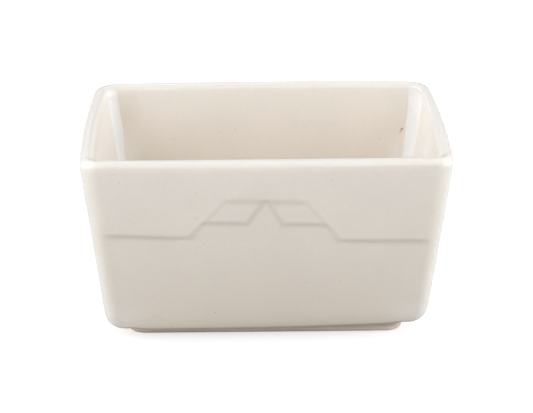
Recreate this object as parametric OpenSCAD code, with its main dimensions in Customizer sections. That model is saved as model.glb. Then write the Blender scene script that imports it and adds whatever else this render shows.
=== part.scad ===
// Tabletop holder for sugar packets: a tapered, open tub of glazed hotel china with
// rounded corners, a slightly swelled plan, a stepped low relief on both long sides and
// a bare-bottomed foot. It is one casting; each module below is one zone of it, and the
// zones meet face to face. Origin: centre of the foot, on the table. +Z up, front is -Y.

/* [Body] */
// Width over the rim, end to end, at the middle of the ends
rim_w = 108; // [90:1:140]
// Depth over the rim, front to back, at the middle of the long sides
rim_d = 67.5; // [60:0.5:90]
// Height from the table to the top of the rim
total_h = 60.5; // [52:0.5:80]
// Wall thickness at the rim
wall = 4; // [3:0.25:5]
// Thickness of the floor
floor_t = 4.6; // [4:0.1:7]
// Lean of the outer faces from upright, in degrees
outer_draft = 5.25; // [3:0.25:7]
// Lean of the inner faces from upright, in degrees
inner_draft = 7; // [5:0.25:8]

/* [Corners and swell] */
// Radius of the four outer upright corners, in plan
outer_corner_r = 5.5; // [4:0.25:8]
// Radius of the four inner upright corners, in plan
inner_corner_r = 3; // [2:0.25:6]
// How far the middle of each end stands out past its corners
end_swell = 1.2; // [0.4:0.1:2]
// How far the middle of each long side stands out past its corners
side_swell = 1.2; // [0.4:0.1:2]
// Radius of the rounding over the rim, outside and inside
lip_r = 1.8; // [1:0.1:1.95]
// Height of the curve under the outer faces
bottom_curve_h = 5.5; // [4:0.25:8]
// Reach of that curve inwards
bottom_curve_in = 1.4; // [0.8:0.1:6]
// Radius of the fillet between the floor and the inner faces
floor_fillet = 6; // [4:0.25:8]

/* [Foot] */
// Height of the foot under the body
foot_h = 4.4; // [1.6:0.1:6]
// Width of the flat ledge between the curve and the foot's shoulder, at the ends
foot_ledge_ends = 5.5; // [1.5:0.1:7]
// Width of that ledge along the long sides
foot_ledge_sides = 4.1; // [1.5:0.1:5]
// How far the middle of each side of the foot stands out past its corners
foot_swell = 0.1; // [0:0.1:1.2]
// How far the foot's flank curves inwards on its way down
foot_flank_in = 0.8; // [0.4:0.1:2]
// Width of the foot ring, in plan, at the table
foot_ring_w = 3.6; // [2.5:0.1:5]
// Height of the bare band that touches the table
bare_h = 0.4; // [0.3:0.05:0.8]

/* [Relief] */
// How far the upper field stands out past the lower face
field_step = 0.6; // [0.3:0.05:1]
// How far the two middle tiles stand out past the lower face
tile_step = 0.4; // [0.15:0.05:0.55]
// Height of the long level line above the table
line_z = 35.9; // [32:0.1:38]
// Height of the lower edge of the tiles above the level line
tile_rise = 5.3; // [4:0.1:7]
// Height of the plateau above the level line
plateau_rise = 12.9; // [10:0.1:14]
// Half width of the raised figure at the level line
figure_half_w = 21.9; // [18:0.1:26]
// Half width of the plateau
plateau_half_w = 11.5; // [9:0.1:14]
// Half width of the peak at the lower edge of the tiles
peak_half_w = 5.3; // [4:0.1:8]
// Half width of the blunt top of the peak
peak_top_half_w = 0.7; // [0.5:0.05:1.5]
// Turn of the figure out of level, as it is on this hand-finished ware, in degrees
relief_turn = 1.75; // [0:0.25:2]
// Offset of the figure from the middle of the side, to the right as seen from outside
relief_offset = -0.6; // [-1:0.1:1]

/* [Hidden] */

glaze_colour = [0.90, 0.87, 0.82];
bare_colour = [0.70, 0.58, 0.50];

// Counts of steps along the outline and the profiles
corner_steps = 8;
fade_steps = 5;
middle_steps = 12;
curve_steps = 8;
wall_steps = 3;
foot_steps = 5;
band_steps = 2;

// Length over which the relief fades out towards each upright corner
fade_length = 5;
// Share of the corner's radius that the faded end keeps from the end face
corner_share = 0.4;
// Gap left between the relief's end and the corner, where its step is already nothing
relief_end_gap = 0.25;
// Overrun of cutting shapes past the faces that they cut
overrun = 1;

half_w = rim_w / 2;
half_d = rim_d / 2;
lip_z = total_h - lip_r;
underside_z = foot_h;
floor_z = underside_z + floor_t;
pan_top_z = floor_z + max(floor_fillet, bottom_curve_h - floor_t);

function outer_half_w(z) = half_w - (lip_z - z) * tan(outer_draft);
function outer_half_d(z) = half_d - (lip_z - z) * tan(outer_draft);
function inner_half_w(z) = half_w - wall - (lip_z - z) * tan(inner_draft);
function inner_half_d(z) = half_d - wall - (lip_z - z) * tan(inner_draft);

// 0 at the faded end, 1 past the fading length, with a level start and end
function fade(gap) =
    let (t = min(1, max(0, gap / fade_length)))
    t * t * (3 - 2 * t);

// Points along one straight side, close together where the relief fades
function side_stops(half) = [
    for (k = [1 : fade_steps]) -half + fade_length * k / fade_steps,
    for (k = [1 : middle_steps - 1])
        (half - fade_length) * (2 * k / middle_steps - 1),
    for (k = [fade_steps : -1 : 1]) half - fade_length * k / fade_steps
];

// Arc of one corner about its own centre, counter-clockwise from the angle a0
function corner_arc(x, y, r, a0) = [
    for (k = [0 : corner_steps])
        let (a = a0 + 90 * k / corner_steps) [x + r * cos(a), y + r * sin(a)]
];

// Rounded rectangle, counter-clockwise from its right end
function rounded(hw, hd, r) = concat(
    corner_arc(hw - r, hd - r, r, 0),
    [for (x = side_stops(hw - r)) [-x, hd]],
    corner_arc(r - hw, hd - r, r, 90),
    [for (y = side_stops(hd - r)) [-hw, -y]],
    corner_arc(r - hw, r - hd, r, 180),
    [for (x = side_stops(hw - r)) [x, -hd]],
    corner_arc(hw - r, r - hd, r, 270),
    [for (y = side_stops(hd - r)) [hw, y]]
);

// One level of the tub: a rounded rectangle with swelled ends and sides, whose long
// sides are sunk inwards between the upright corners to the lower face of the relief
function level(hw, hd, r, z, sink = 0, ends = end_swell, sides = side_swell) = [
    for (p = rounded(hw, hd, r))
        let (
            x = p.x * (1 - ends / hw * pow(p.y / hd, 2)),
            y = p.y * (1 - sides / hd * pow(p.x / hw, 2)),
            inwards = sink * fade(hw - corner_share * r - abs(p.x))
        )
        [x, y - sign(p.y) * inwards, z]
];

function outer_level(z, inset = 0, sink = field_step) =
    level(outer_half_w(z) - inset, outer_half_d(z) - inset, outer_corner_r, z, sink);
function inner_level(z, inset = 0) =
    level(inner_half_w(z) - inset, inner_half_d(z) - inset, inner_corner_r, z);

// Levels from the bottom up: the curve under the faces, then the leaning face
function bottom_curve_levels() = [
    for (k = [0 : curve_steps])
        let (a = 90 * k / curve_steps)
        outer_level(underside_z + bottom_curve_h * (1 - cos(a)),
                    bottom_curve_in * (1 - sin(a)))
];
function face_levels(z0, z1, sink = field_step) = [
    for (k = [0 : wall_steps]) outer_level(z0 + (z1 - z0) * k / wall_steps, 0, sink)
];
function inner_levels(z0, z1) = [
    for (k = [0 : wall_steps]) inner_level(z0 + (z1 - z0) * k / wall_steps)
];
// Levels over the rim, up the outside and down the inside
function lip_levels() = concat(
    [for (k = [0 : curve_steps])
        let (a = 90 * k / curve_steps)
        outer_level(lip_z + lip_r * sin(a), lip_r * (1 - cos(a)), 0)],
    [for (k = [curve_steps : -1 : 0])
        let (a = 90 * k / curve_steps)
        inner_level(lip_z + lip_r * sin(a), -lip_r * (1 - cos(a)))]
);
// Levels down the fillet to the floor
function floor_fillet_levels() = [
    for (k = [0 : curve_steps])
        let (a = 90 * k / curve_steps)
        inner_level(floor_z + floor_fillet * (1 - sin(a)),
                    floor_fillet * (1 - cos(a)))
];
// Levels of the foot's flank, from the table up to its shoulder
function foot_levels(z0, z1, steps, extra = 0) = [
    for (k = [0 : steps])
        let (
            z = z0 + (z1 - z0) * k / steps,
            inwards = extra + foot_flank_in * flank(max(0, 1 - z / foot_h))
        )
        level(foot_half_w - inwards, foot_half_d - inwards, outer_corner_r, z,
              0, foot_swell, foot_swell)
];
// Half sizes of the foot's shoulder, which stands on the flat underside everywhere
foot_half_w = outer_half_w(underside_z) - bottom_curve_in - foot_ledge_ends;
foot_half_d = outer_half_d(underside_z) - field_step - bottom_curve_in - foot_ledge_sides;

// Quarter-round flank: nothing at the shoulder, 1 at the table
function flank(share) = 1 - sqrt(max(0, 1 - share * share));

// Triangles between two neighbouring levels of n points that start at a and b
function band(a, b, n) = [
    for (i = [0 : n - 1])
        let (j = (i + 1) % n)
        each [[a + i, b + i, b + j], [a + i, b + j, a + j]]
];

// Solid between stacked levels, closed flat at both ends
module capped(levels) {
    n = len(levels[0]);
    last = (len(levels) - 1) * n;
    polyhedron(
        points = [for (l = levels) each l],
        faces = concat(
            [[for (i = [0 : n - 1]) i]],
            [for (k = [0 : len(levels) - 2]) each band(k * n, (k + 1) * n, n)],
            [[for (i = [n - 1 : -1 : 0]) last + i]]
        )
    );
}

// Ring-shaped solid whose levels run round its wall and back to the first
module looped(levels) {
    n = len(levels[0]);
    m = len(levels);
    polyhedron(
        points = [for (l = levels) each l],
        faces = [for (k = [0 : m - 1]) each band(k * n, ((k + 1) % m) * n, n)]
    );
}

function backwards(list) = [for (k = [len(list) - 1 : -1 : 0]) list[k]];

module rim_lip() {
    color(glaze_colour) looped(lip_levels());
}

module side_walls() {
    color(glaze_colour)
        looped(concat(face_levels(pan_top_z, lip_z),
                      backwards(inner_levels(pan_top_z, lip_z))));
}

module floor_pan() {
    color(glaze_colour)
        capped(concat(bottom_curve_levels(),
                      face_levels(underside_z + bottom_curve_h, pan_top_z),
                      backwards(inner_levels(floor_z + floor_fillet, pan_top_z)),
                      floor_fillet_levels()));
}

module foot_ring() {
    color(glaze_colour)
        looped(concat(foot_levels(bare_h, underside_z, foot_steps),
                      backwards(foot_levels(bare_h, underside_z, 1, foot_ring_w))));
}

module foot_contact_band() {
    color(bare_colour)
        looped(concat(foot_levels(0, bare_h, band_steps),
                      backwards(foot_levels(0, bare_h, 1, foot_ring_w))));
}

// Outlines of the relief, as x along the side and height above the level line.
// The field is all that lies above the stepped line, up to the rim.
function field_outline(half, top) = [
    [-half, top], [-half, 0], [-figure_half_w, 0], [-plateau_half_w, plateau_rise],
    [plateau_half_w, plateau_rise], [figure_half_w, 0], [half, 0], [half, top]
];
// A tile is the leaning panel between the stepped line and the peak.
function edge_x(rise) =
    figure_half_w - (figure_half_w - plateau_half_w) * rise / plateau_rise;
tile_outline = [
    [peak_half_w, tile_rise], [edge_x(tile_rise), tile_rise],
    [plateau_half_w, plateau_rise], [peak_top_half_w, plateau_rise]
];

// A relief outline turned a little out of level, as a cutter through the front wall
module relief_prism(outline) {
    middle_z = line_z + plateau_rise / 2;
    reach = rim_d / 2 + overrun;
    translate([relief_offset, 0, middle_z])
        rotate([0, relief_turn, 0])
            translate([0, 0, line_z - middle_z])
                rotate([90, 0, 0])
                    linear_extrude(reach) polygon(outline);
}

// Layer of the given step on the lower face, out to where it fades on the corners
module layer(step) {
    difference() {
        intersection() {
            capped(face_levels(pan_top_z, lip_z, field_step - step));
            relief_bounds();
        }
        capped(face_levels(pan_top_z, lip_z));
    }
}

// Slanted block that ends on the upright corners, where the relief has faded out
module relief_bounds() {
    margin = corner_share * outer_corner_r + relief_end_gap;
    low = outer_half_w(pan_top_z) - margin;
    high = outer_half_w(lip_z) - margin;
    share = 1 - end_swell / half_w;
    rotate([90, 0, 0])
        linear_extrude(rim_d)
            polygon([[-low * share, pan_top_z], [low * share, pan_top_z],
                     [high * share, lip_z], [-high * share, lip_z]]);
}

module front_relief_field() {
    color(glaze_colour)
        intersection() {
            layer(field_step);
            relief_prism(field_outline(rim_w, total_h));
        }
}

module front_tile(side) {
    color(glaze_colour)
        intersection() {
            layer(tile_step);
            relief_prism([for (p = tile_outline) [side * p.x, p.y]]);
        }
}

module front_relief_tile_left() { front_tile(-1); }
module front_relief_tile_right() { front_tile(1); }

// The back carries the same relief, turned half round
module to_back() { rotate([0, 0, 180]) children(); }
module back_relief_field() { to_back() front_relief_field(); }
module back_relief_tile_left() { to_back() front_relief_tile_left(); }
module back_relief_tile_right() { to_back() front_relief_tile_right(); }

rim_lip();
side_walls();
floor_pan();
foot_ring();
foot_contact_band();
front_relief_field();
front_relief_tile_left();
front_relief_tile_right();
back_relief_field();
back_relief_tile_left();
back_relief_tile_right();
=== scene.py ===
import math

import bpy
import numpy as np
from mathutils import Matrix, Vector


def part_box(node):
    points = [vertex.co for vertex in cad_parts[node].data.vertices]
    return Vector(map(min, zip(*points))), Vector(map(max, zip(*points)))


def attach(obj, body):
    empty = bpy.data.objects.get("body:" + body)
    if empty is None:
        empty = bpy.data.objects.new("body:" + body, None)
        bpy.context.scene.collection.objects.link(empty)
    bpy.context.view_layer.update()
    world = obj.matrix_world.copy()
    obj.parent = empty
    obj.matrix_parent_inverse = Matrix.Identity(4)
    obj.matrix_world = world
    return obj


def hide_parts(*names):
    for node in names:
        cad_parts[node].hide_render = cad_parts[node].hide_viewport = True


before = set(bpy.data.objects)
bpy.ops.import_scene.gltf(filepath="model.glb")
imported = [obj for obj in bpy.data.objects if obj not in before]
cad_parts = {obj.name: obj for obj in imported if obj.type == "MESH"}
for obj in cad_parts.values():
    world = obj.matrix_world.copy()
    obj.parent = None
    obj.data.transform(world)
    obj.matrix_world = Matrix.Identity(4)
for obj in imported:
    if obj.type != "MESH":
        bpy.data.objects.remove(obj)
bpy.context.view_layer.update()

# The tub: rim, walls, floor and relief of one casting in warm white hotel china, pressed in
# a plaster mould, sponged smooth at the lip and dipped in a clear gloss glaze that rounds
# every edge. One closed skin stands for it, with the relief as soft steps on both long sides.

mm = 0.001
rim_low, rim_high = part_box("rim_lip")
half_w, half_d = rim_high.x, rim_high.y
lip_z, rim_top = rim_low.z, rim_high.z
lip_r = rim_top - lip_z
underside_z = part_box("floor_pan")[0].z

wall = 4 * mm
floor_thickness = 4.6 * mm
floor_z = underside_z + floor_thickness
outer_lean = math.tan(math.radians(5.25))
inner_lean = math.tan(math.radians(7))
outer_corner = 5.5 * mm
inner_corner = 3 * mm
end_swell = 1.2 * mm
side_swell = 1.2 * mm
bottom_curve_h = 5.5 * mm
bottom_curve_in = 1.4 * mm
floor_fillet = 6 * mm

field_step = 0.6 * mm
tile_step = 0.4 * mm
line_z = 35.9 * mm
tile_rise = 5.3 * mm
plateau_rise = 12.9 * mm
figure_half = 21.9 * mm
plateau_half = 11.5 * mm
peak_half = 5.3 * mm
peak_top_half = 0.7 * mm
relief_turn = math.radians(1.75)
relief_offset = -0.6 * mm
step_width = 1.9 * mm
slant_softness = 1.1
slant_run = 2 * mm
fade_length = 5 * mm
corner_share = 0.4
relief_low, relief_high = 31 * mm, 51 * mm
settle = 0.0122
settle_top = 33 * mm
middle_sag = 0.18 * mm
end_curl = 0.5 * mm
curl_from = 34.5 * mm
curl_run = 8 * mm
lip_h = 3 * mm
lip_low = rim_top - lip_h
below_lip_h = 2 * mm
core_corner = 3.9 * mm
core_shift = 1.2 * mm
core_lean = 0.9 * mm
core_depth = 28 * mm
askew_run = 32 * mm


def smooth(t):
    """3t^2 - 2t^3 of t held between 0 and 1: a step with a level start and end."""
    t = np.clip(t, 0, 1)
    return t * t * (3 - 2 * t)


def grows(value, start, run):
    """0 up to start, then a smooth step up to 1 over the run."""
    return smooth((value - start) / run)


def fades(value, start, run):
    """1 up to start, then a smooth step down to 0 over the run."""
    return smooth((start + run - value) / run)


def beside(distance, reach):
    """exp(-(distance / reach)^2): 1 on a line and hardly anything at twice the reach."""
    return np.exp(-((distance / reach) ** 2))


def stretch(start, end, count, last=False):
    """count even numbers from start towards end, and the end itself if last is set."""
    return np.linspace(start, end, count + last, endpoint=last)


def outline_columns(figure_reach, fine, coarse, corner, end):
    """Columns round a rounded rectangle, counter-clockwise from the right end's front corner.

    A column is (along, across, cos, sin): a point is along or across times the straight
    half side, plus the corner radius times cos or sin. Columns on the long sides are close
    together within figure_reach of the middle, a share of the half side. A face and the
    arc after it are made facing right, and each quarter turn takes (a, b) to (-b, a).
    """
    figure = stretch(-figure_reach, figure_reach, fine)
    plain = stretch(figure_reach, 1, coarse, last=True)
    long_face = np.concatenate([-plain[:0:-1], figure, plain])
    end_face = stretch(-1, 1, end, last=True)
    arc = stretch(0, math.pi / 2, corner)[1:]
    parts = []
    for turn in range(4):
        face = long_face if turn % 2 else end_face
        part = np.concatenate([
            np.stack([1 + 0 * face, face, 1 + 0 * face, 0 * face], 1),
            np.stack([1 + 0 * arc, 1 + 0 * arc, np.cos(arc), np.sin(arc)], 1)])
        for _ in range(turn):
            part = part[:, [1, 0, 3, 2]] * [-1, 1, -1, 1]
        parts.append(part)
    return np.concatenate(parts)


def ring_points(columns, hw, hd, r, z, ends=end_swell, sides=side_swell, even_front=False):
    """Rows of a swelled rounded rectangle, shape (rows, columns, 3).

    x = along (hw - r) + r cos, y = across (hd - r) + r sin, then each is drawn in by its
    swell times the square of the other's share of its half side. An even front is drawn in
    by the whole swell everywhere, so it is straight.
    """
    hw, hd, z = (np.asarray(v)[:, None] * np.ones(len(columns)) for v in (hw, hd, z))
    x = columns[:, 0] * (hw - r) + r * columns[:, 2]
    y = columns[:, 1] * (hd - r) + r * columns[:, 3]
    bent_x = x * (1 - ends / hw * (y / hd) ** 2)
    drawn = np.where(even_front & (y < 0), 1, (x / hw) ** 2)
    bent_y = y * (1 - sides / hd * drawn)
    return np.stack([bent_x, bent_y, z], 2), x


def settled(points):
    """The body as it settled on its foot in the kiln: z + (settle * x + curl) * share.

    The share is 0 on the table, 1 at the underside and 0 again from settle_top up. The curl
    is what the ends, which stand out past the foot, stayed behind the sagging middle.
    """
    x, z = points[..., 0], points[..., 2]
    curl = end_curl * grows(np.abs(x), curl_from, curl_run) - middle_sag
    body = fades(z, underside_z, settle_top - underside_z)
    share = np.where(z < underside_z, z / underside_z, body)
    moved = points.copy()
    moved[..., 2] += (settle * x + curl) * share
    return moved


def relief_height(x, z):
    """Height of the relief over the lower face at x, to the right from outside, and z.

    Each edge is a straight line, its signed distance goes through a smooth step, and the
    field (all above the stepped line) and the tiles (beside the peak) are laid over it.
    The slanted edges are softer by slant_softness. slanted is 1 near those, 0 elsewhere.
    """
    middle_z = line_z + plateau_rise / 2
    dx, dz = x - relief_offset, z - middle_z
    along = np.abs(dx * math.cos(relief_turn) - dz * math.sin(relief_turn))
    rise = dx * math.sin(relief_turn) + dz * math.cos(relief_turn) + plateau_rise / 2
    slant = figure_half - plateau_half
    outside = ((along - figure_half) * plateau_rise + rise * slant) / math.hypot(
        plateau_rise, slant)
    peak_slant, peak_rise = peak_half - peak_top_half, plateau_rise - tile_rise
    off_peak = ((along - peak_half) * peak_rise + (rise - tile_rise) * peak_slant) / math.hypot(
        peak_rise, peak_slant)
    nearest_level = np.minimum(np.abs(rise), np.abs(rise - plateau_rise))
    slanted = grows(nearest_level - np.abs(outside), -slant_run / 2, slant_run)
    to_field = np.minimum(rise, np.maximum(rise - plateau_rise, outside / slant_softness))
    to_tile = np.minimum(rise - tile_rise, off_peak)
    field = grows(to_field, -step_width / 2, step_width)
    tile = grows(to_tile, -step_width / 2, step_width)
    height = tile_step * tile + (field_step - tile_step * tile) * field
    return height, to_field, to_tile, slanted


def closed_skin(name, rows, low_pole=None, high_pole=None):
    """Mesh over a grid of rows, closed round each row and at both ends.

    Neighbouring rows and columns give quads. A pole is one point with a fan to its row;
    with no poles, the last row joins the first.
    """
    has_poles = low_pole is not None
    row_count, around = rows.shape[:2]
    points = rows.reshape(-1, 3)
    this = np.arange(around)
    following = (this + 1) % around
    row = np.arange(row_count - has_poles)[:, None] * around
    above = (row + around) % len(points)
    quads = np.stack([row + this, row + following, above + following, above + this], 2)
    faces = quads.reshape(-1, 4).tolist()
    if has_poles:
        low, high = len(points), len(points) + 1
        top = len(points) - around
        points = np.concatenate([points, [low_pole, high_pole]])
        faces += np.stack([np.full(around, low), following, this], 1).tolist()
        faces += np.stack([np.full(around, high), top + this, top + following], 1).tolist()
    mesh = bpy.data.meshes.new(name)
    mesh.from_pydata(points.tolist(), [], faces)
    mesh.polygons.foreach_set("use_smooth", np.ones(len(mesh.polygons), dtype=bool))
    mesh.validate()
    piece = bpy.data.objects.new(name, mesh)
    bpy.context.scene.collection.objects.link(piece)
    return piece


def mark(piece, name, values):
    """Keeps one number per vertex as an attribute that the material reads."""
    layer = piece.data.attributes.new(name, "FLOAT", "POINT")
    layer.data.foreach_set("value", np.asarray(values, dtype=np.float32))


def leaning(half, lean, z):
    """Half size at height z of faces that lean outwards up to the lip."""
    return half - np.maximum(lip_z - z, 0) * lean


columns = outline_columns(figure_reach=0.5, fine=136, coarse=18, corner=20, end=22)

# Rows up the outside: the flat underside, the curve under the faces, the leaning faces,
# closest where the relief is, and the outer half of the lip.
under = stretch(0, 1, 8)[1:]
curve = stretch(0, math.pi / 2, 14)
curve_z = underside_z + bottom_curve_h * (1 - np.cos(curve))
curve_in = bottom_curve_in * (1 - np.sin(curve))
face_z = np.concatenate([
    stretch(underside_z + bottom_curve_h, relief_low, 14),
    stretch(relief_low, relief_high, 56), stretch(relief_high, lip_low, 6)])
lip_up = stretch(0, math.pi / 2, 12, last=True)
outer_z = np.concatenate([curve_z, face_z, lip_low + lip_h * np.sin(lip_up)])
outer_in = np.concatenate([curve_in, 0 * face_z, lip_r * (1 - np.cos(lip_up))])
outer_w = leaning(half_w, outer_lean, outer_z) - outer_in
outer, flat_x = ring_points(columns, outer_w, leaning(half_d, outer_lean, outer_z) - outer_in,
                            outer_corner, outer_z)
side = np.sign(outer[:, :, 1])
reach = outer_w[:, None] - corner_share * outer_corner
fade = fades(np.abs(flat_x), reach - fade_length, fade_length)
height, to_field, to_tile, slanted = relief_height(-side * outer[:, :, 0], outer[:, :, 2])
outer[:, :, 1] -= side * fade * (field_step - height)
underside = outer[:1] * np.stack([under, under, 1 + 0 * under], 1)[:, None, :]

# Rows down the inside: the inner half of the lip, the leaning walls, the fillet, the floor.
lip_down = stretch(math.pi / 2, 0, 12)
fillet = stretch(0, math.pi / 2, 14, last=True)
wall_z = np.concatenate([stretch(lip_low, lip_low - below_lip_h, 8),
                         stretch(lip_low - below_lip_h, floor_z + floor_fillet, 22)])
inner_z = np.concatenate([lip_low + lip_h * np.sin(lip_down), wall_z,
                          floor_z + floor_fillet * (1 - np.sin(fillet))])
inner_in = np.concatenate([-lip_r * (1 - np.cos(lip_down)), 0 * wall_z,
                           floor_fillet * (1 - np.cos(fillet))])
towards_corner = smooth(columns[:, 0]) * smooth(columns[:, 1])
inner, _ = ring_points(columns, leaning(half_w - wall, inner_lean, inner_z) - inner_in,
                       leaning(half_d - wall, inner_lean, inner_z) - inner_in,
                       inner_corner + (core_corner - inner_corner) * towards_corner, inner_z,
                       even_front=True)
basin = inner[-1:] * np.stack([under[::-1], under[::-1], 1 + 0 * under], 1)[:, None, :]

# The core that shaped the inside is askew at the back right corner: the corner is rounder
# and the inner face further out there, most of all core_depth / 2 below the rim.
depth = (rim_top - inner_z)[:, None]
outwards = core_shift + core_lean * np.sin(np.pi * np.clip(depth / core_depth, 0, 1))
outwards = outwards * grows(depth, 0, lip_h) * fades(depth, 20 * mm, 24 * mm)
to_right = grows(inner[:, :, 0], 10 * mm, askew_run)
to_back = grows(inner[:, :, 1], -12 * mm, askew_run)
inner[:, :, 0] += outwards * to_right * to_back

tub = closed_skin("glazed_tub", settled(np.concatenate([underside, outer, inner, basin])),
                  low_pole=(0, 0, underside_z), high_pole=(0, 0, floor_z))


def mark_tub(name, outside=0, inside=0, floor=0):
    """Marks the tub row by row, in its rows' order, and then its two poles."""
    flat = np.zeros((len(under), len(columns)))
    rows = np.concatenate([flat, np.zeros(outer.shape[:2]) + outside,
                           np.zeros(inner.shape[:2]) + inside, flat + floor])
    mark(tub, name, np.append(rows, [0, floor]))


def greatest(*amounts):
    """The greatest of some amounts at each point of the tub's rows."""
    return np.maximum.reduce(np.broadcast_arrays(*amounts))


# Where it is tan: partly where the glaze lies thick, in the angle under each step and on the
# floor, and partly painted shade: in those same angles, darker towards the bottom outside, and
# deeper in the well on the floor and low on the long sides inside, but not next to the corners.
# The angle of a column is 0 on the end walls and 90 degrees on the long sides.
under_field, under_tile, in_slant_angle = 0.88, 0.9, 0.38
bottom_shade_middle, bottom_shade_ends = 1.15, 0.75
on_floor, low_on_sides = 0.6, 0.45
slant_share = 0.55
angle = np.degrees(np.arctan2(np.abs(columns[:, 3]), np.abs(columns[:, 2])))
from_top = (rim_top - outer_z)[:, None]
from_corner = (1 - np.abs(columns[:, 0])) * (half_w - wall)
long_side = grows(angle, 70, 20)
at_end = fades(angle, 20, 22)
off_end = grows(angle, 0, 25)
upright = off_end * fades(angle, 39, 18)
lower_down = fades(outer_z, 0, 52 * mm)[:, None]
on_face = (outer[:, :, 2] > underside_z + bottom_curve_h) & (outer[:, :, 2] < lip_z)
narrower = 1 + (slant_share - 1) * slanted
# Under each step: partly glaze pooling, partly painted shade of the step.
under_field_pool_and_shade = (under_field + (in_slant_angle - under_field) * slanted) * beside(
    to_field + 0.7 * mm * narrower, 0.9 * mm * narrower)
under_tile_pool_and_shade = under_tile * beside(to_tile + 0.6 * mm, 0.8 * mm) * (to_field < 0)
# Painted shade: darker towards the bottom outside, less on the upright corners.
shade_towards_bottom = lower_down * (bottom_shade_middle + (bottom_shade_ends - bottom_shade_middle) * columns[:, 0] ** 2) * (
    1 - 0.8 * upright)
low_inside = long_side * grows(depth, 8 * mm, 20 * mm)
# Partly glaze pooling on the floor, partly painted shade deeper in the well and low on the long
# sides.
floor_pool_and_shade = on_floor * grows(depth, 42 * mm, 9 * mm)
low_side_pool_and_shade = low_on_sides * long_side * grows(depth, 6 * mm, 22 * mm) * (
    1 - low_inside * fades(from_corner, 0, 11 * mm))
mark_tub("pool_and_shade", greatest(under_field_pool_and_shade, under_tile_pool_and_shade) * fade * on_face + shade_towards_bottom,
         floor_pool_and_shade + low_side_pool_and_shade, on_floor)

# Where it is paler: partly where the glaze has drawn back and is whiter, at the lip and over
# the slanted steps, and partly painted light: on the lip too, under the lip and at the low ends
# outside, on the upright corners as a painted highlight, and inside in the corners, down the
# end walls, low beside the corners and behind the lip.
# It is whitest in the inner corners under the lip, where a painted highlight streak runs down
# each corner.
on_lip, on_end_lip, in_end_lip = 0.42, 0.6, 0.45
under_lip_light, corner_highlight, low_end_light, over_slant = 0.1, 0.15, 0.22, 0.12
behind_lip_light, end_wall_light, arc_highlight, beside_arc_light = 0.24, 0.3, 0.9, 0.4
lip_reach, end_lip_out, end_lip_in = 1.05 * mm, 0.5 * mm, 0.9 * mm
streak_depth, streak_tail_depth = 8.4 * mm, 6 * mm
arc_edge = 7 + 30 * grows(depth, 13 * mm, 16 * mm)
in_arc = grows(angle, 0, 14) * fades(angle, 90 - arc_edge, arc_edge)
end_lip = fades(depth, 3.3 * mm, 0.7 * mm)
below_lip = grows(depth, -0.8 * mm, 4 * mm)
# The paler lip is partly thin glaze and partly painted light on its crown and sides.
lip_outer = (1 - at_end) * on_lip * beside(from_top, lip_reach) + (
    at_end * on_end_lip * beside(from_top, end_lip_out))
lip_inner = (1 - at_end) * on_lip * beside(depth, lip_reach) + (
    at_end * greatest(on_end_lip * beside(depth, end_lip_in), in_end_lip * end_lip))
low_end = fades(outer_z, 7 * mm, 8 * mm)[:, None] * grows(
    np.abs(outer[:, :, 0]), 32 * mm, 12 * mm)
# Paler line on the raised side of the slanted steps: partly thin glaze, partly painted
# highlight.
slant_pale_and_highlight = over_slant * slanted * fade * on_face * beside(to_field - 0.9 * mm, 0.5 * mm)
# Painted highlight: a pale streak down each inner corner, with tails at both edges of the arc.
streak_tails = greatest(fades(np.abs(angle - 24), 0, 16), grows(angle, 72, 10))
corner_streak_highlight = in_arc * fades(depth, streak_depth + streak_tail_depth * streak_tails, 2.6 * mm)
# Painted light down the inner end walls and the corner arcs.
inner_wall_light = greatest(end_wall_light * fades(angle, 0, 20), arc_highlight * in_arc) * fades(
    depth, 20 * mm, 30 * mm)
outer_pale_and_lit = slant_pale_and_highlight + greatest(lip_outer, under_lip_light * fades(from_top, 0, 14 * mm),
                                   corner_highlight * lower_down * upright, low_end_light * low_end)
inner_pale_and_lit = greatest(lip_inner, corner_streak_highlight * below_lip, inner_wall_light * below_lip,
                      behind_lip_light * fades(depth, 0, 16 * mm),
                      beside_arc_light * low_inside * fades(from_corner, 0, 6 * mm))
mark_tub("thin_glaze_and_highlight", outer_pale_and_lit, inner_pale_and_lit)

# Where its white is greyer: painted shade outside on the upright corners and the ends, and
# inside on the lip at the ends and high in the inner corners.
# And where it is browner: along the underside's edge.
corner_grey, low_corner_grey, end_grey = 0.5, 0.35, 0.72
arc_grey, end_lip_grey = 0.15, 0.38
low_corner = lower_down * off_end * fades(angle, 66, 16)
outer_grey_shade = greatest(corner_grey * upright, low_corner_grey * low_corner,
                      end_grey * at_end * grows(from_top, 0.3 * mm, 0.5 * mm))
inner_grey_shade = greatest(arc_grey * in_arc * fades(depth, 3 * mm, 2 * mm),
                      end_lip_grey * at_end * grows(depth, 0.3 * mm, 0.6 * mm) * end_lip)
mark_tub("painted_grey_shade", outer_grey_shade, inner_grey_shade)
mark_tub("brown_edge", fades(outer_z, underside_z, 1.1 * mm)[:, None])


def node(tree, kind, inputs=(), **settings):
    """Adds a node, sets its settings, and links or sets its inputs by name or number."""
    made = tree.nodes.new(kind)
    for key, value in settings.items():
        setattr(made, key, value)
    for key, value in dict(inputs).items():
        if isinstance(value, bpy.types.NodeSocket):
            tree.links.new(value, made.inputs[key])
        else:
            made.inputs[key].default_value = value
    return made


def blank_material(name):
    """An empty node material with a Principled shader on its output."""
    made = bpy.data.materials.new(name)
    made.use_nodes = True
    tree = made.node_tree
    tree.nodes.clear()
    shader = node(tree, "ShaderNodeBsdfPrincipled")
    node(tree, "ShaderNodeOutputMaterial", {"Surface": shader.outputs["BSDF"]})
    return made, tree, shader


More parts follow.
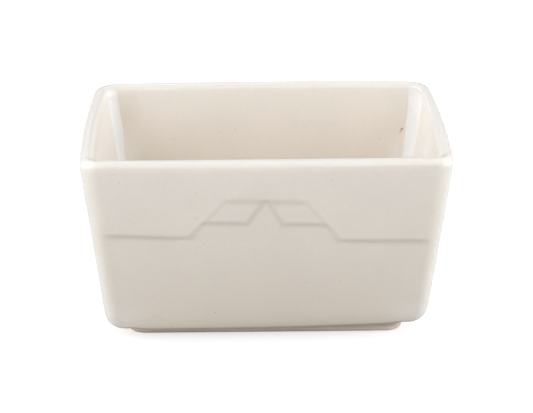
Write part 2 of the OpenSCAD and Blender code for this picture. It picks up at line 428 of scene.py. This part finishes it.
def mix_colour(tree, amount, first, second):
    """Blend of two colours by an amount between 0 and 1."""
    made = node(tree, "ShaderNodeMix", data_type="RGBA")
    for key, value in (("Factor", amount), ("A", first), ("B", second)):
        socket = next(s for s in made.inputs if s.name == key and s.enabled)
        if isinstance(value, bpy.types.NodeSocket):
            tree.links.new(value, socket)
        else:
            socket.default_value = value
    return next(s for s in made.outputs if s.enabled)


def maths(tree, how, first, second, clamp=False):
    """One Math node's result."""
    return node(tree, "ShaderNodeMath", {0: first, 1: second}, operation=how,
                use_clamp=clamp).outputs[0]


def in_range(tree, value, low, high, to_low=0.0, to_high=1.0):
    """value mapped from low..high to to_low..to_high, held at the ends, with soft ends."""
    return node(tree, "ShaderNodeMapRange",
                {"Value": value, "From Min": low, "From Max": high, "To Min": to_low,
                 "To Max": to_high}, interpolation_type="SMOOTHSTEP").outputs[0]


def marked(tree, name):
    """The number that a piece keeps at each vertex under this name."""
    return node(tree, "ShaderNodeAttribute", attribute_name=name).outputs["Fac"]


def spots(tree, place, colour, tone, table):
    """The colour with soft round spots of a tone: x, y, z and radius in mm, and strength."""
    most = 0.0
    for x, y, z, radius, strength in table:
        away = node(tree, "ShaderNodeVectorMath", {0: place, 1: (x * mm, y * mm, z * mm)},
                    operation="DISTANCE").outputs["Value"]
        spot = in_range(tree, away, 0.3 * radius * mm, radius * mm, strength, 0.0)
        most = maths(tree, "MAXIMUM", spot, most)
    return mix_colour(tree, most, colour, tone)


def hairline(tree, place, colour, tone, points, radius, strength):
    """The colour with a thin line of a tone along straight runs between points, in mm."""
    most = 0.0
    for start, end in zip(points, points[1:]):
        run = Vector(end) * mm - Vector(start) * mm
        from_start = node(tree, "ShaderNodeVectorMath", {0: place, 1: Vector(start) * mm},
                          operation="SUBTRACT").outputs["Vector"]
        share = node(tree, "ShaderNodeVectorMath", {0: from_start, 1: run / run.length_squared},
                     operation="DOT_PRODUCT").outputs["Value"]
        nearest = node(tree, "ShaderNodeVectorMath",
                       {0: run, "Scale": maths(tree, "MULTIPLY", share, 1.0, clamp=True)},
                       operation="SCALE").outputs["Vector"]
        away = node(tree, "ShaderNodeVectorMath", {0: from_start, 1: nearest},
                    operation="DISTANCE").outputs["Value"]
        line = in_range(tree, away, 0.3 * radius * mm, radius * mm, strength, 0.0)
        most = maths(tree, "MAXIMUM", line, most)
    return mix_colour(tree, most, colour, tone)


def speckle(tree, place, colour, tone, scale, rarity, radius, strength):
    """The colour with scattered dots of a tone, in the share of cells above rarity."""
    cells = node(tree, "ShaderNodeTexVoronoi", {"Vector": place, "Scale": scale})
    lucky = node(tree, "ShaderNodeSeparateColor", {"Color": cells.outputs["Color"]})
    chosen = in_range(tree, lucky.outputs[0], rarity, rarity + 0.01, 0.0, strength)
    dot = in_range(tree, cells.outputs["Distance"], 0.5 * radius, radius, 1.0, 0.0)
    return mix_colour(tree, maths(tree, "MULTIPLY", chosen, dot), colour, tone)


warm_white = (0.86, 0.80, 0.725, 1)
pale_and_highlight_white = (0.975, 0.975, 0.975, 1)
shade_grey = (0.775, 0.76, 0.735, 1)
# Tan of thick glaze, also used as painted shade.
tan_pool_and_shade = (0.66, 0.585, 0.47, 1)
# The brown of the underside's edge and of the foot's lower edge.
edge_brown = (0.44, 0.27, 0.18, 1)
iron_brown = (0.30, 0.20, 0.11, 1)
burnt_brown = (0.22, 0.10, 0.02, 1)
rust_brown = (0.55, 0.30, 0.14, 1)
bare_white = (1, 1, 1, 1)


def glaze_material(name, warm=warm_white, pool_and_shade_tone=tan_pool_and_shade, flaws=(), crazing=()):
    """Clear gloss glaze over warm white china: faint cloudy tone, fine grain, a few iron
    specks, tan where it pools and as painted shade, paler where it is thin and as painted
    highlight, greyer as painted shade, browner along edges, and a slight orange-peel surface.

    Flaws are pairs of a tone and its table of spots, crazing the points of one hairline.
    """
    made, tree, shader = blank_material(name)
    place = node(tree, "ShaderNodeTexCoord").outputs["Object"]
    cloud = node(tree, "ShaderNodeTexNoise",
                 {"Vector": place, "Scale": 45, "Detail": 3, "Roughness": 0.55})
    grain = node(tree, "ShaderNodeTexNoise",
                 {"Vector": place, "Scale": 700, "Detail": 2, "Roughness": 0.6})
    cloudy = in_range(tree, cloud.outputs["Fac"], 0.3, 0.7)
    clouded = (0.965 * warm[0], 0.965 * warm[1], 0.975 * warm[2], 1)
    colour = mix_colour(tree, cloudy, warm, clouded)
    grainy = in_range(tree, grain.outputs["Fac"], 0.35, 0.65, to_high=0.06)
    colour = mix_colour(tree, grainy, colour, pool_and_shade_tone)
    # Tan where the glaze pools, and painted shade.
    pool_and_shade_share = maths(tree, "MULTIPLY", marked(tree, "pool_and_shade"), 0.45)
    colour = mix_colour(tree, pool_and_shade_share, colour, pool_and_shade_tone)
    # Paler where the glaze is thin, and painted highlight and painted light.
    colour = mix_colour(tree, marked(tree, "thin_glaze_and_highlight"), colour, pale_and_highlight_white)
    # Painted shade: greyer on the corners, the ends and the end lips.
    colour = mix_colour(tree, marked(tree, "painted_grey_shade"), colour, shade_grey)
    colour = mix_colour(tree, marked(tree, "brown_edge"), colour, edge_brown)
    colour = speckle(tree, place, colour, iron_brown, scale=75, rarity=0.93, radius=0.035,
                     strength=0.35)
    colour = speckle(tree, place, colour, iron_brown, scale=420, rarity=0.75, radius=0.12,
                     strength=0.09)
    for tone, table in flaws:
        colour = spots(tree, place, colour, tone, table)
    if crazing:
        colour = hairline(tree, place, colour, iron_brown, crazing, radius=0.28,
                          strength=0.095)
    tree.links.new(colour, shader.inputs["Base Color"])
    gloss = in_range(tree, cloud.outputs["Fac"], 0.3, 0.7, to_low=0.1, to_high=0.16)
    tree.links.new(gloss, shader.inputs["Roughness"])
    shader.inputs["IOR"].default_value = 1.5
    peel = node(tree, "ShaderNodeTexNoise",
                {"Vector": place, "Scale": 160, "Detail": 1.5, "Roughness": 0.4})
    bump = node(tree, "ShaderNodeBump", {"Height": peel.outputs["Fac"], "Strength": 0.25,
                                         "Distance": 0.1 * mm})
    tree.links.new(bump.outputs["Normal"], shader.inputs["Normal"])
    return made


# The flaws that this casting has, at x, y and z in mm: burnt-out iron, rust-brown spots, pale
# flecks, a stain inside near the back left corner, and a hairline low at the front left.
iron_spots = [
    (-41.7, -32.6, 54.8, 0.35, 0.22), (-31.1, -33.0, 55.5, 0.25, 0.12),
    (-28.8, -32.9, 53.7, 0.25, 0.15), (-37.9, -31.7, 43.9, 0.3, 0.12),
    (-15.4, -28.6, 10.7, 0.38, 0.3), (-2.6, -30.3, 27.4, 0.3, 0.14),
    (-28.3, -27.4, 5.4, 0.4, 0.25), (18.1, -33.3, 55.4, 0.3, 0.18),
    (11.1, -29.6, 20.9, 0.3, 0.2), (15.4, -29.1, 15.8, 0.3, 0.2),
    (44.7, 27.2, 45.7, 0.45, 0.85), (44.5, 27.1, 45.3, 0.3, 0.4),
    (44.8, 27.3, 46.6, 0.35, 0.12), (46.4, 27.1, 46.3, 0.35, 0.13),
    (47.4, 27.6, 52.1, 0.45, 0.08), (49.9, 21.4, 46.8, 0.6, 0.18),
    (49.5, 24.2, 46.2, 0.35, 0.12), (44.1, 26.4, 39.8, 0.4, 0.14),
    (-8.8, 28.1, 45.7, 0.4, 0.18), (-13.7, 28.0, 45.0, 0.35, 0.15),
    (-49.7, -11.7, 57.9, 0.3, 0.15), (-47.3, 17.5, 41.4, 0.4, 0.25)]
rust_spots = [
    (-20.2, -32.9, 51.5, 0.3, 0.25), (-20.2, -32.1, 43.3, 0.4, 0.16),
    (-18.4, -30.8, 34.4, 0.3, 0.3), (-20.7, -30.4, 30.8, 0.3, 0.3),
    (-24.4, -29.2, 18.4, 0.4, 0.16), (-22.2, -31.4, 37.7, 0.4, 0.3),
    (18.4, -33.1, 53.7, 0.28, 0.2), (40.4, -32.3, 50.9, 0.33, 0.22),
    (25.5, -32.1, 44.4, 0.3, 0.2), (47.7, -31.1, 43.9, 0.3, 0.25),
    (21.0, -29.5, 21.0, 0.36, 0.26), (19.8, -28.6, 11.9, 0.3, 0.25),
    (44.2, 27.1, 44.9, 0.5, 0.65), (44.6, 27.2, 45.8, 0.7, 0.4),
    (37.6, 27.1, 42.5, 0.4, 0.32), (41.1, 26.5, 38.9, 0.35, 0.14),
    (-4.7, 28.9, 52.2, 0.3, 0.25), (-29.1, 27.3, 42.7, 0.33, 0.18),
    (-27.9, 27.4, 43.0, 0.45, 0.18), (-37.9, 27.8, 49.4, 0.33, 0.16),
    (-50.0, 7.9, 58.7, 0.33, 0.25), (-49.6, -16.7, 58.1, 0.4, 0.4)]
pale_flecks = [
    (-9.4, -33.1, 51.6, 0.4, 0.4), (-9.1, -33.0, 51.2, 0.3, 0.45),
    (-6.3, -30.9, 34.5, 0.28, 0.4), (11.4, -33.5, 56.4, 0.28, 0.4),
    (14.0, -30.4, 29.8, 0.28, 0.3), (44.6, -32.4, 53.2, 0.28, 0.35)]
tan_patches = [(-42.0, 28.0, 52.6, 5.5, 0.16), (-42.3, 28.1, 53.6, 3.5, 0.2),
               (-43.0, 28.5, 56.6, 4.5, 0.16)]
craze = [(-45.7, -27.2, 8.3), (-44.3, -27.7, 7.8), (-42.6, -27.5, 6.9), (-40.6, -27.4, 6.7),
         (-39.1, -27.5, 7.2), (-37.9, -27.7, 7.9), (-35.2, -27.8, 7.9), (-34.6, -27.9, 8.4),
         (-34.0, -28.0, 9.2), (-33.3, -28.1, 9.6), (-32.5, -28.1, 9.3), (-31.8, -28.0, 8.7),
         (-31.1, -27.9, 7.6)]
tub.data.materials.append(glaze_material(
    "clear_glaze_on_china", crazing=craze,
    flaws=[(tan_pool_and_shade, tan_patches), (burnt_brown, iron_spots), (rust_brown, rust_spots),
           (bare_white, pale_flecks)]))
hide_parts("rim_lip", "side_walls", "floor_pan", "front_relief_field",
            "front_relief_tile_left", "front_relief_tile_right", "back_relief_field",
            "back_relief_tile_left", "back_relief_tile_right")
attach(tub, "root")

# The foot: a low ring under the body, formed with it in the same mould and glazed with it.
# Its flank curves in towards the table, and it is tan high up under the body: partly where the
# glaze lies thick in the angle above it, partly painted shade under the body's overhang.

foot_low, foot_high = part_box("foot_ring")
foot_half_w, foot_half_d = foot_high.x, foot_high.y
bare_top = foot_low.z
foot_swell = 0.1 * mm
foot_turn = math.radians(-0.4)
foot_shift = -0.22 * mm
foot_corner = 4.8 * mm
foot_flank_in = 0.8 * mm
foot_ring_w = 3.6 * mm
foot_white = (0.98, 0.91, 0.80, 1)
foot_pool_and_shade_tan = (0.34, 0.28, 0.20, 1)
foot_columns = outline_columns(figure_reach=0.5, fine=24, coarse=12, corner=12, end=20)


def foot_rows(z):
    """Half sizes of the foot's flank at height z, drawn in by 1 - sqrt(1 - share^2) of its
    whole curve, where share is 0 under the body and 1 on the table."""
    share = np.clip(1 - z / underside_z, 0, 1)
    inwards = foot_flank_in * (1 - np.sqrt(np.maximum(0, 1 - share**2)))
    return foot_half_w - inwards, foot_half_d - inwards


def ring(name, low, high, count, edge):
    """A closed band of the foot between two heights, with its edges rounded by edge.

    The outer flank goes up, the inner one down at the ring's width inside it; each of the
    four edges is drawn in by edge at its own height and over it. The whole foot sits turned
    and shifted a little under the body.
    """
    z = np.concatenate([[low], stretch(low + edge, high - edge, count, last=True), [high]])
    draw = np.concatenate([[edge], np.zeros(count + 1), [edge]])
    w, d = foot_rows(z)
    outside, _ = ring_points(foot_columns, w - draw, d - draw, foot_corner, z,
                             foot_swell, foot_swell)
    inside, _ = ring_points(foot_columns, w[::-1] - foot_ring_w + draw,
                            d[::-1] - foot_ring_w + draw, foot_corner, z[::-1],
                            foot_swell, foot_swell)
    rows = np.concatenate([outside, inside])
    x, y = rows[:, :, 0].copy(), rows[:, :, 1].copy()
    rows[:, :, 0] = x * math.cos(foot_turn) - y * math.sin(foot_turn) + foot_shift
    rows[:, :, 1] = x * math.sin(foot_turn) + y * math.cos(foot_turn)
    return closed_skin(name, settled(rows))


foot = ring("glazed_foot", bare_top, underside_z, 16, 0.05 * mm)
foot_points = np.empty(len(foot.data.vertices) * 3)
foot.data.vertices.foreach_get("co", foot_points)
foot_z = foot_points[2::3]
# Painted shade: tan towards the top of the foot under the body, partly thick glaze.
mark(foot, "pool_and_shade", 0.95 * grows(foot_z, 0.8 * mm, 1.6 * mm))
mark(foot, "brown_edge", 0.3 * fades(foot_z, bare_top, 0.5 * mm))
foot.data.materials.append(glaze_material("thick_glaze_on_foot", foot_white, foot_pool_and_shade_tan))
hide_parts("foot_ring")
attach(foot, "root")

# The bare band: the glaze is wiped off where the foot stands, and shows the fired china,
# matt and a little brown from the kiln. It is the only part that touches the table.

band = ring("bare_foot_band", 0.0, bare_top, 3, 0.08 * mm)
fired_pink = (0.88, 0.58, 0.47, 1)
fired_brown = (0.78, 0.49, 0.39, 1)


def bare_china_material(name):
    """Unglazed fired china: matt, fine sandy grain, browner in patches."""
    made, tree, shader = blank_material(name)
    place = node(tree, "ShaderNodeTexCoord").outputs["Object"]
    patch = node(tree, "ShaderNodeTexNoise", {"Vector": place, "Scale": 120, "Detail": 3})
    sand = node(tree, "ShaderNodeTexNoise", {"Vector": place, "Scale": 2500, "Detail": 2})
    patchy = in_range(tree, patch.outputs["Fac"], 0.35, 0.65)
    colour = mix_colour(tree, patchy, fired_pink, fired_brown)
    tree.links.new(colour, shader.inputs["Base Color"])
    shader.inputs["Roughness"].default_value = 0.85
    bump = node(tree, "ShaderNodeBump", {"Height": sand.outputs["Fac"], "Strength": 0.5,
                                         "Distance": 0.08 * mm})
    tree.links.new(bump.outputs["Normal"], shader.inputs["Normal"])
    return made


band.data.materials.append(bare_china_material("bare_fired_china"))
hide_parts("foot_contact_band")
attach(band, "root")

# The camera stands where the photograph's did: a little left of the middle and above, with
# a long lens. Aim is the point, off the object's centre, that the frame's middle looks at.

camera_distance = 453.9 * mm
camera_pitch = math.radians(25.4)
camera_yaw = math.radians(-1.43)
aim_right, aim_up = 0.53 * mm, 1.24 * mm
camera_back = Vector((math.sin(camera_yaw) * math.cos(camera_pitch),
                      -math.cos(camera_yaw) * math.cos(camera_pitch), math.sin(camera_pitch)))
camera_side = Vector((math.cos(camera_yaw), math.sin(camera_yaw), 0))
object_centre = Vector((0, 0, rim_top / 2))
lens = bpy.data.cameras.new("camera")
lens.sensor_width = 36
lens.lens = 99.6
camera = bpy.data.objects.new("camera", lens)
camera.location = object_centre + camera_back * camera_distance
aim = object_centre + camera_side * aim_right + camera_back.cross(camera_side) * aim_up
camera.rotation_euler = (camera.location - aim).to_track_quat("Z", "Y").to_euler()
bpy.context.scene.collection.objects.link(camera)
bpy.context.scene.camera = camera
bpy.context.scene.view_settings.view_transform = "Standard"

# The studio: a wide pale floor that reads as white paper and keeps the object's shadow,
# a white surround, and large soft boxes.

surround_in_gloss = 0.09
paper_in_gloss = 0.245
floor_half = 1.6
floor_drop = 0.05 * mm
corners = [(-floor_half, -floor_half, -floor_drop), (floor_half, -floor_half, -floor_drop),
           (floor_half, floor_half, -floor_drop), (-floor_half, floor_half, -floor_drop)]
floor_mesh = bpy.data.meshes.new("paper_floor")
floor_mesh.from_pydata(corners, [], [(0, 1, 2, 3)])
paper_floor = bpy.data.objects.new("paper_floor", floor_mesh)
bpy.context.scene.collection.objects.link(paper_floor)


def seen_directly(tree, in_camera, in_gloss):
    """in_camera for camera rays, in_gloss for mirror rays, 0 for light on the object."""
    path = node(tree, "ShaderNodeLightPath").outputs
    direct = maths(tree, "MULTIPLY", path["Is Camera Ray"], in_camera)
    mirrored = maths(tree, "MULTIPLY", path["Is Glossy Ray"], in_gloss)
    return maths(tree, "MAXIMUM", direct, mirrored)


def paper_material(name, shade=0.55, lift=0.6, near=0.12, far=0.4):
    """Pale paper that the lamps light, lifted towards white where it is seen directly.

    The lift is part of the way near the object, where its shadow falls, and full from far on.
    """
    made, tree, shader = blank_material(name)
    place = node(tree, "ShaderNodeTexCoord").outputs["Object"]
    away = node(tree, "ShaderNodeVectorMath", {0: place}, operation="LENGTH").outputs["Value"]
    lifted = in_range(tree, away, near, far, lift, 1.0)
    shader.inputs["Base Color"].default_value = (shade, shade, shade, 1)
    shader.inputs["Roughness"].default_value = 1
    shader.inputs["Specular IOR Level"].default_value = 0
    shader.inputs["Emission Color"].default_value = (1, 1, 1, 1)
    tree.links.new(seen_directly(tree, lifted, paper_in_gloss),
                   shader.inputs["Emission Strength"])
    return made


floor_mesh.materials.append(paper_material("studio_paper"))

world = bpy.data.worlds.new("studio_surround")
bpy.context.scene.world = world
world.use_nodes = True
world.node_tree.nodes.clear()
surround = node(world.node_tree, "ShaderNodeBackground", {"Color": (1, 1, 1, 1)})
world.node_tree.links.new(seen_directly(world.node_tree, 1.0, surround_in_gloss),
                          surround.inputs["Strength"])
node(world.node_tree, "ShaderNodeOutputWorld", {"Surface": surround.outputs[0]})


def soft_box(name, place, size, watts, mirrored=True):
    """A square area lamp at place that faces the object, with or without a mirror image."""
    lamp = bpy.data.lights.new(name, "AREA")
    lamp.shape = "SQUARE"
    lamp.size = size
    lamp.energy = watts
    made = bpy.data.objects.new(name, lamp)
    made.location = place
    made.rotation_euler = (Vector(place) - object_centre).to_track_quat("Z", "Y").to_euler()
    made.visible_glossy = mirrored
    bpy.context.scene.collection.objects.link(made)


soft_box("left_box", (-0.5, 0, 0.28), 0.5, 1.95)
soft_box("right_box", (0.5, 0, 0.28), 0.5, 1.26)
soft_box("front_left_box", (-0.5, -0.35, 0.3), 0.6, 1.16)
soft_box("back_left_box", (-0.4, 0.4, 0.45), 0.7, 1.5, mirrored=False)
soft_box("back_right_box", (0.4, 0.4, 0.45), 0.7, 1.81, mirrored=False)
soft_box("low_right_box", (0.45, -0.05, 0.13), 0.25, 0.75)
soft_box("high_left_box", (-0.35, -0.5, 0.5), 0.5, 1.12)
soft_box("high_right_box", (0.35, -0.5, 0.5), 0.5, 1.42)
soft_box("near_front_box", (0, -0.25, 0.25), 0.15, 0.1)
